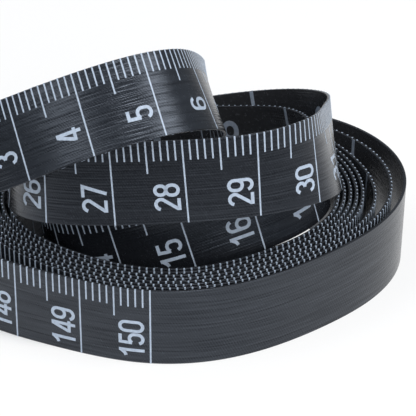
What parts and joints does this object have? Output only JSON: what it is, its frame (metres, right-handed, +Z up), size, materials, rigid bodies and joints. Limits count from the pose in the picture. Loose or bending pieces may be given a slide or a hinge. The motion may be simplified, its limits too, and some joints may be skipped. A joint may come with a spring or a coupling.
{
  "type": "cloth tape measure",
  "caption": "Flexible coated-cloth tape measure wound into a loose coil that stands on its edge, with loops of its zero end rising from the middle and metal tips on both ends.",
  "frame": {"origin": "on the surface that the coil stands on, under the middle of the tape's bounding box", "axes": "+Z up, along the width of the standing coil; -Y is the pictured front; +X to the right of the front"},
  "size_m": [0.0782, 0.0554, 0.043],
  "materials": {
    "tape_cloth": "dark charcoal coated cloth, satin, with pale blue-grey printed scale",
    "tip_metal": "nickel-plated folded sheet"
  },
  "bodies": {
    "wound_tape": {"tape_upper_loop": "tape_cloth", "tape_low_loop": "tape_cloth", "tape_middle_loop": "tape_cloth", "tape_coil": "tape_cloth"},
    "zero_end": {"zero_tip": "tip_metal", "tape_zero_end": "tape_cloth"},
    "tail": {"tape_tail": "tape_cloth", "tail_tip": "tip_metal"}
  },
  "joints": [
    {"name": "zero_end_bend", "type": "hinge", "parent": "wound_tape", "child": "zero_end", "pos_m": [-0.01865, -0.01965, 0.02907], "axis": [-0.2759, 0.5211, 0.8077], "range_deg": [-15, 60], "stiffness_Nm_per_rad": 0.003},
    {"name": "tail_peel", "type": "hinge", "parent": "wound_tape", "child": "tail", "pos_m": [0.03911, 0.00523, 0.00589], "axis": [0, 0, -1], "range_deg": [0, 70], "stiffness_Nm_per_rad": 0.003}
  ]
}
